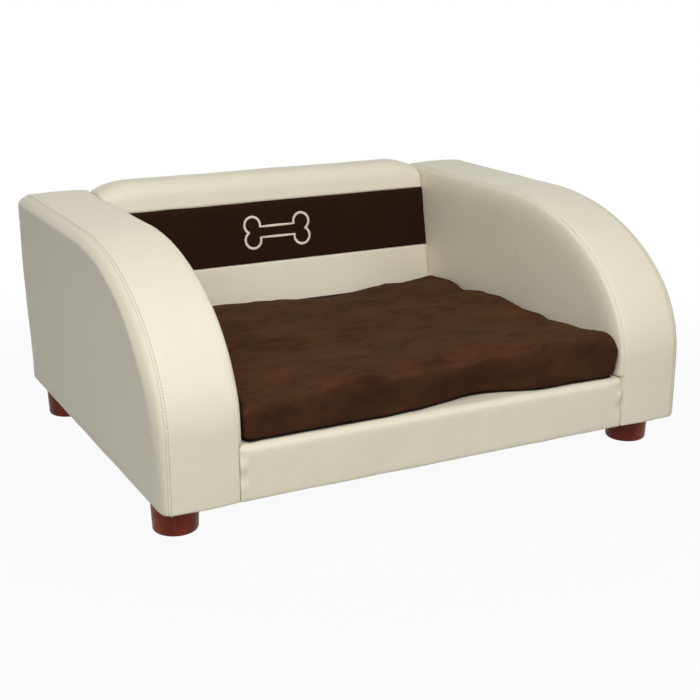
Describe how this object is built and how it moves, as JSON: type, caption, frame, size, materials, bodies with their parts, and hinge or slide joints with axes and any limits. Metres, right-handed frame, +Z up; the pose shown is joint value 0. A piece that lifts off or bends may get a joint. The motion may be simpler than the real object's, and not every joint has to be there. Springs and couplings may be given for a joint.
{
  "type": "dog bed with frame",
  "caption": "Sofa-shaped pet bed: low upholstered frame with curved arms and a back with a dark band, a loose padded cushion and short round wooden feet.",
  "frame": {"origin": "on the floor, under the middle of the body", "axes": "+X to the right of a viewer who faces the front, +Y towards the back, +Z up"},
  "size_m": [0.762, 0.596, 0.339],
  "materials": {
    "cream_leatherette": "soft satin faux leather with fine grain",
    "dark_suede_band": "dark brown microsuede",
    "brown_suede": "mottled brown microsuede",
    "black_cloth": "black spun cloth",
    "grey_lining": "pale grey-blue lining cloth",
    "foam": "upholstery foam",
    "webbing": "jute-coloured edge board and web",
    "plywood": "birch plywood",
    "softwood": "planed pine",
    "stained_wood": "gloss cherry stain",
    "zinc_steel": "zinc plated",
    "zip_nylon": "dark brown woven tape and nylon coil",
    "zip_metal": "dark enamelled slider"
  },
  "bodies": {
    "frame": {"left_arm_outer_cover": "cream_leatherette", "left_arm_top_strip": "cream_leatherette", "left_arm_inner_cover": "cream_leatherette", "left_arm_outer_foam": "foam", "left_arm_top_foam": "foam", "left_arm_inner_foam": "foam", "left_arm_web": "webbing", "left_arm_outer_board": "plywood", "left_arm_inner_board": "plywood", "left_arm_battens": "softwood", "left_arm_foot_blocks": "softwood", "right_arm_outer_cover": "cream_leatherette", "right_arm_top_strip": "cream_leatherette", "right_arm_inner_cover": "cream_leatherette", "right_arm_outer_foam": "foam", "right_arm_top_foam": "foam", "right_arm_inner_foam": "foam", "right_arm_web": "webbing", "right_arm_outer_board": "plywood", "right_arm_inner_board": "plywood", "right_arm_battens": "softwood", "right_arm_foot_blocks": "softwood", "seat_front_rail": "softwood", "seat_rear_rail": "softwood", "seat_side_rails": "softwood", "seat_bearers": "softwood", "back_top_rails": "softwood", "back_bottom_rails": "softwood", "deck_board": "plywood", "back_board": "plywood", "back_gussets": "plywood", "front_rail_foam": "foam", "deck_foam": "foam", "back_foam": "foam", "back_top_roll": "foam", "front_rail_cover": "cream_leatherette", "back_lower_panel": "cream_leatherette", "back_upper_panel": "cream_leatherette", "outside_back_panel": "cream_leatherette", "deck_lining": "grey_lining", "back_band": "dark_suede_band", "dust_cover": "black_cloth", "front_left_foot": "stained_wood", "front_right_foot": "stained_wood", "rear_left_foot": "stained_wood", "rear_right_foot": "stained_wood", "foot_studs": "zinc_steel", "foot_tee_nuts": "zinc_steel", "arm_bolts": "zinc_steel", "arm_tee_nuts": "zinc_steel"},
    "cushion": {"cushion_cover": "brown_suede", "cushion_base_cloth": "black_cloth", "cushion_core": "foam", "cushion_zip": "zip_nylon"},
    "zip_slider": {"zip_slider": "zip_metal"}
  },
  "joints": [
    {"name": "cushion_lift", "type": "slide", "parent": "frame", "child": "cushion", "axis": [0, 0, 1], "range_m": [0, 0.3]},
    {"name": "zip_slide", "type": "slide", "parent": "cushion", "child": "zip_slider", "axis": [-1, 0, 0], "range_m": [0, 0.45]}
  ]
}
